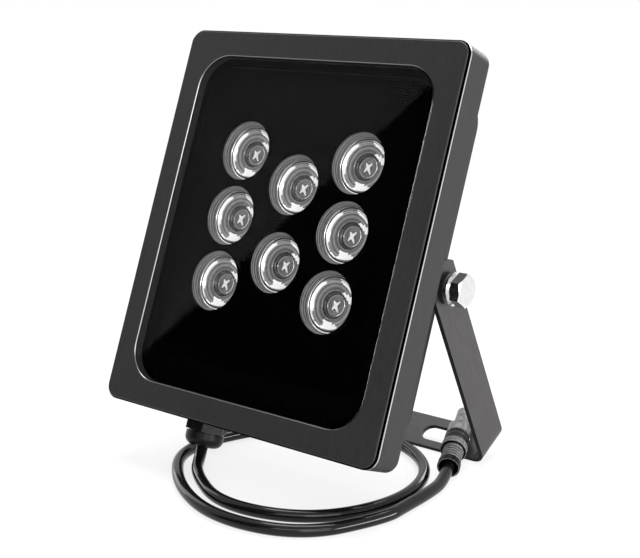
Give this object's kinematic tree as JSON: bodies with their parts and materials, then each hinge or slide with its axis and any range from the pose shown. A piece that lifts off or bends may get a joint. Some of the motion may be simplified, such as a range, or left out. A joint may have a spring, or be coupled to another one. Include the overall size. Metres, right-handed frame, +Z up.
{
  "type": "infrared illuminator",
  "caption": "Square-framed infrared illuminator lamp on a U-shaped tilt bracket, with deep-set lenses behind dark glass, a finned back, a cable gland and a coiled lead with a barrel plug.",
  "frame": {"origin": "centre of the box round the lamp and its bracket, at the level of the surface it stands on (the free cord and plug not counted)", "axes": "+Y from the front glass towards the back, +Z up, +X to the right when looking at the back of the lamp's window from the front, that is to the viewer's right"},
  "size_m": [0.1252, 0.1109, 0.1497],
  "materials": {
    "painted_frame": "satin dark grey powder coat on cast aluminium",
    "painted_bracket": "satin dark grey paint on sheet steel",
    "window_glass": "dark polished",
    "mask_black": "black",
    "holder_grey": "satin grey",
    "clear_lens": "clear moulded",
    "emitter_white": "glossy",
    "board_white": "satin",
    "plated_steel": "bright plated",
    "black_rubber": "matt",
    "gland_plastic": "satin black",
    "cord_jacket": "glossy black jacket",
    "plug_metal": "satin nickel plate"
  },
  "bodies": {
    "housing": {"front_frame": "painted_frame", "window_glass": "window_glass", "glass_gasket": "black_rubber", "lens_mask": "mask_black", "lens_holders": "holder_grey", "tir_lenses": "clear_lens", "led_emitters": "emitter_white", "led_board": "board_white", "board_screws": "plated_steel", "rear_gasket": "black_rubber", "rear_housing": "painted_frame", "rear_screws": "plated_steel", "friction_washers": "black_rubber", "rubber_washers": "black_rubber", "flat_washers": "plated_steel", "spring_washers": "plated_steel", "pivot_bolts": "plated_steel", "gland_body": "gland_plastic", "gland_washer": "black_rubber", "gland_cap": "gland_plastic", "gland_seal": "black_rubber", "cord_drop": "cord_jacket", "cord_coil": "cord_jacket", "cord_lead": "cord_jacket", "plug_boot": "gland_plastic", "plug_collar": "gland_plastic", "plug_head": "gland_plastic", "plug_sleeve": "plug_metal", "plug_barrel": "plug_metal", "plug_insulator": "gland_plastic"},
    "bracket": {"bracket": "painted_bracket"}
  },
  "joints": [
    {"name": "bracket_tilt", "type": "hinge", "parent": "housing", "child": "bracket", "pos_m": [0, 0.00305, 0.07014], "axis": [1, 0, 0], "range_deg": [0, 135]}
  ]
}
